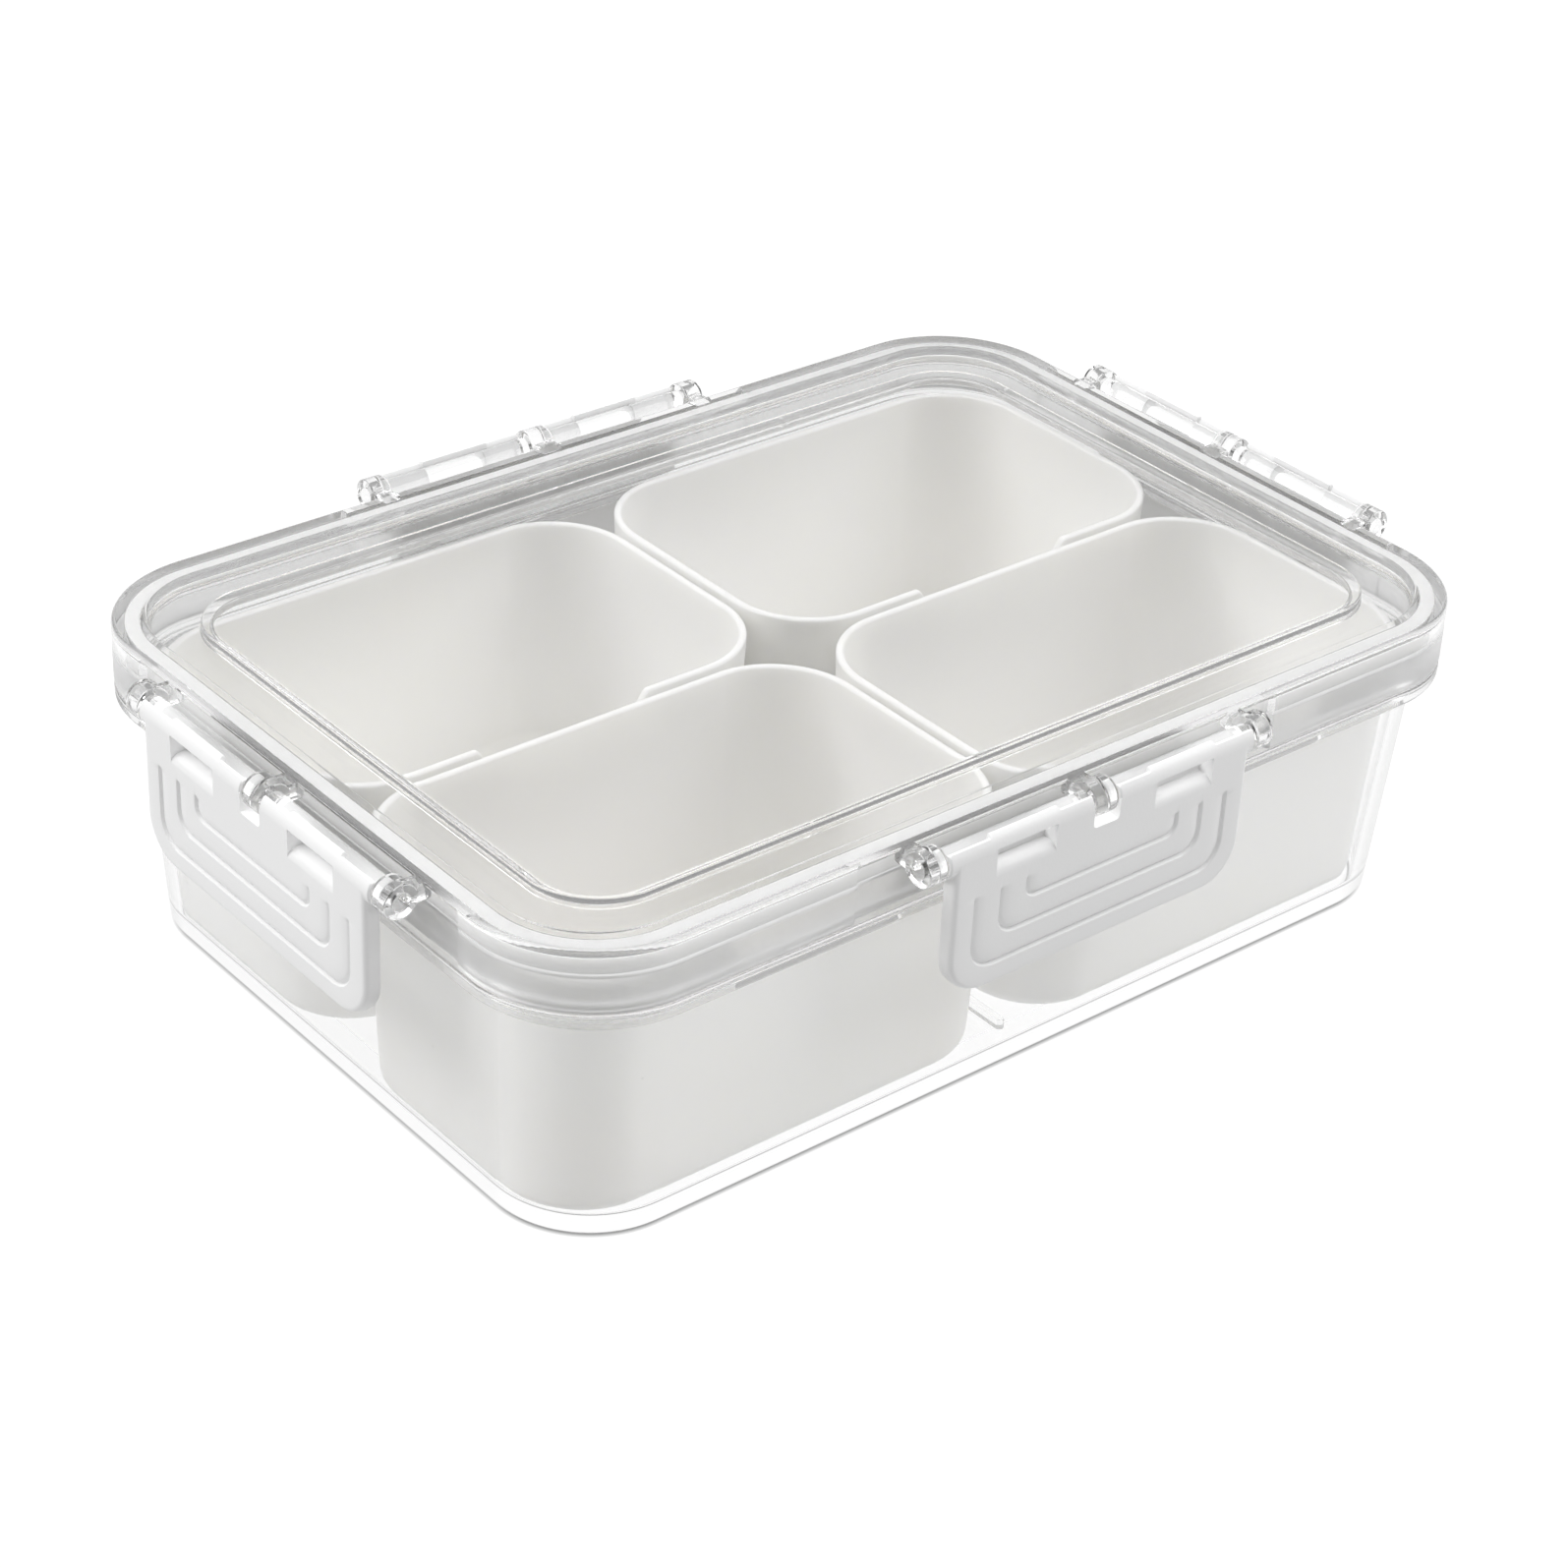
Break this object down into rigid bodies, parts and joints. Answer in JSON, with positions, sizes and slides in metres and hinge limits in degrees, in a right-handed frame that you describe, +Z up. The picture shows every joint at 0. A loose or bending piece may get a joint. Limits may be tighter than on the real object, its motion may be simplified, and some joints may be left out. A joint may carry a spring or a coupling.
{
  "type": "spice box",
  "caption": "Rectangular clear box with a flanged tub, a gasketed lid held by a hinged latch on every side, and open cups that lift out.",
  "frame": {"origin": "middle of the base, on the surface it stands on", "axes": "+X along the long side, front looking along -Y, +Z up"},
  "size_m": [0.203, 0.146, 0.0556],
  "materials": {
    "clear_tub": "clear polished",
    "clear_lid": "clear polished",
    "silicone": "milky satin",
    "latch_white": "satin",
    "cup_white": "satin"
  },
  "bodies": {
    "tub": {"tub": "clear_tub"},
    "lid": {"lid": "clear_lid", "gasket": "silicone"},
    "latch_front": {"latch_front": "latch_white"},
    "latch_back": {"latch_back": "latch_white"},
    "latch_left": {"latch_left": "latch_white"},
    "latch_right": {"latch_right": "latch_white"},
    "cup_front_left": {"cup_front_left": "cup_white"},
    "cup_front_right": {"cup_front_right": "cup_white"},
    "cup_back_left": {"cup_back_left": "cup_white"},
    "cup_back_right": {"cup_back_right": "cup_white"}
  },
  "joints": [
    {"name": "lid_lift", "type": "slide", "parent": "tub", "child": "lid", "axis": [0, 0, 1], "range_m": [0, 0.14]},
    {"name": "latch_front_hinge", "type": "hinge", "parent": "lid", "child": "latch_front", "pos_m": [0, -0.0701, 0.0527], "axis": [-1, 0, 0], "range_deg": [0, 135]},
    {"name": "latch_back_hinge", "type": "hinge", "parent": "lid", "child": "latch_back", "pos_m": [0, 0.0701, 0.0527], "axis": [1, 0, 0], "range_deg": [0, 135]},
    {"name": "latch_left_hinge", "type": "hinge", "parent": "lid", "child": "latch_left", "pos_m": [-0.0986, 0, 0.0527], "axis": [0, 1, 0], "range_deg": [0, 135]},
    {"name": "latch_right_hinge", "type": "hinge", "parent": "lid", "child": "latch_right", "pos_m": [0.0986, 0, 0.0527], "axis": [0, -1, 0], "range_deg": [0, 135]},
    {"name": "cup_front_left_lift", "type": "slide", "parent": "tub", "child": "cup_front_left", "axis": [0, 0, 1], "range_m": [0, 0.07]},
    {"name": "cup_front_right_lift", "type": "slide", "parent": "tub", "child": "cup_front_right", "axis": [0, 0, 1], "range_m": [0, 0.07]},
    {"name": "cup_back_left_lift", "type": "slide", "parent": "tub", "child": "cup_back_left", "axis": [0, 0, 1], "range_m": [0, 0.07]},
    {"name": "cup_back_right_lift", "type": "slide", "parent": "tub", "child": "cup_back_right", "axis": [0, 0, 1], "range_m": [0, 0.07]}
  ],
  "couplings": [
    {"joint": "cup_front_left_lift", "follows": "lid_lift", "ratio": 0.5},
    {"joint": "cup_front_right_lift", "follows": "lid_lift", "ratio": 0.5},
    {"joint": "cup_back_left_lift", "follows": "lid_lift", "ratio": 0.5},
    {"joint": "cup_back_right_lift", "follows": "lid_lift", "ratio": 0.5}
  ]
}
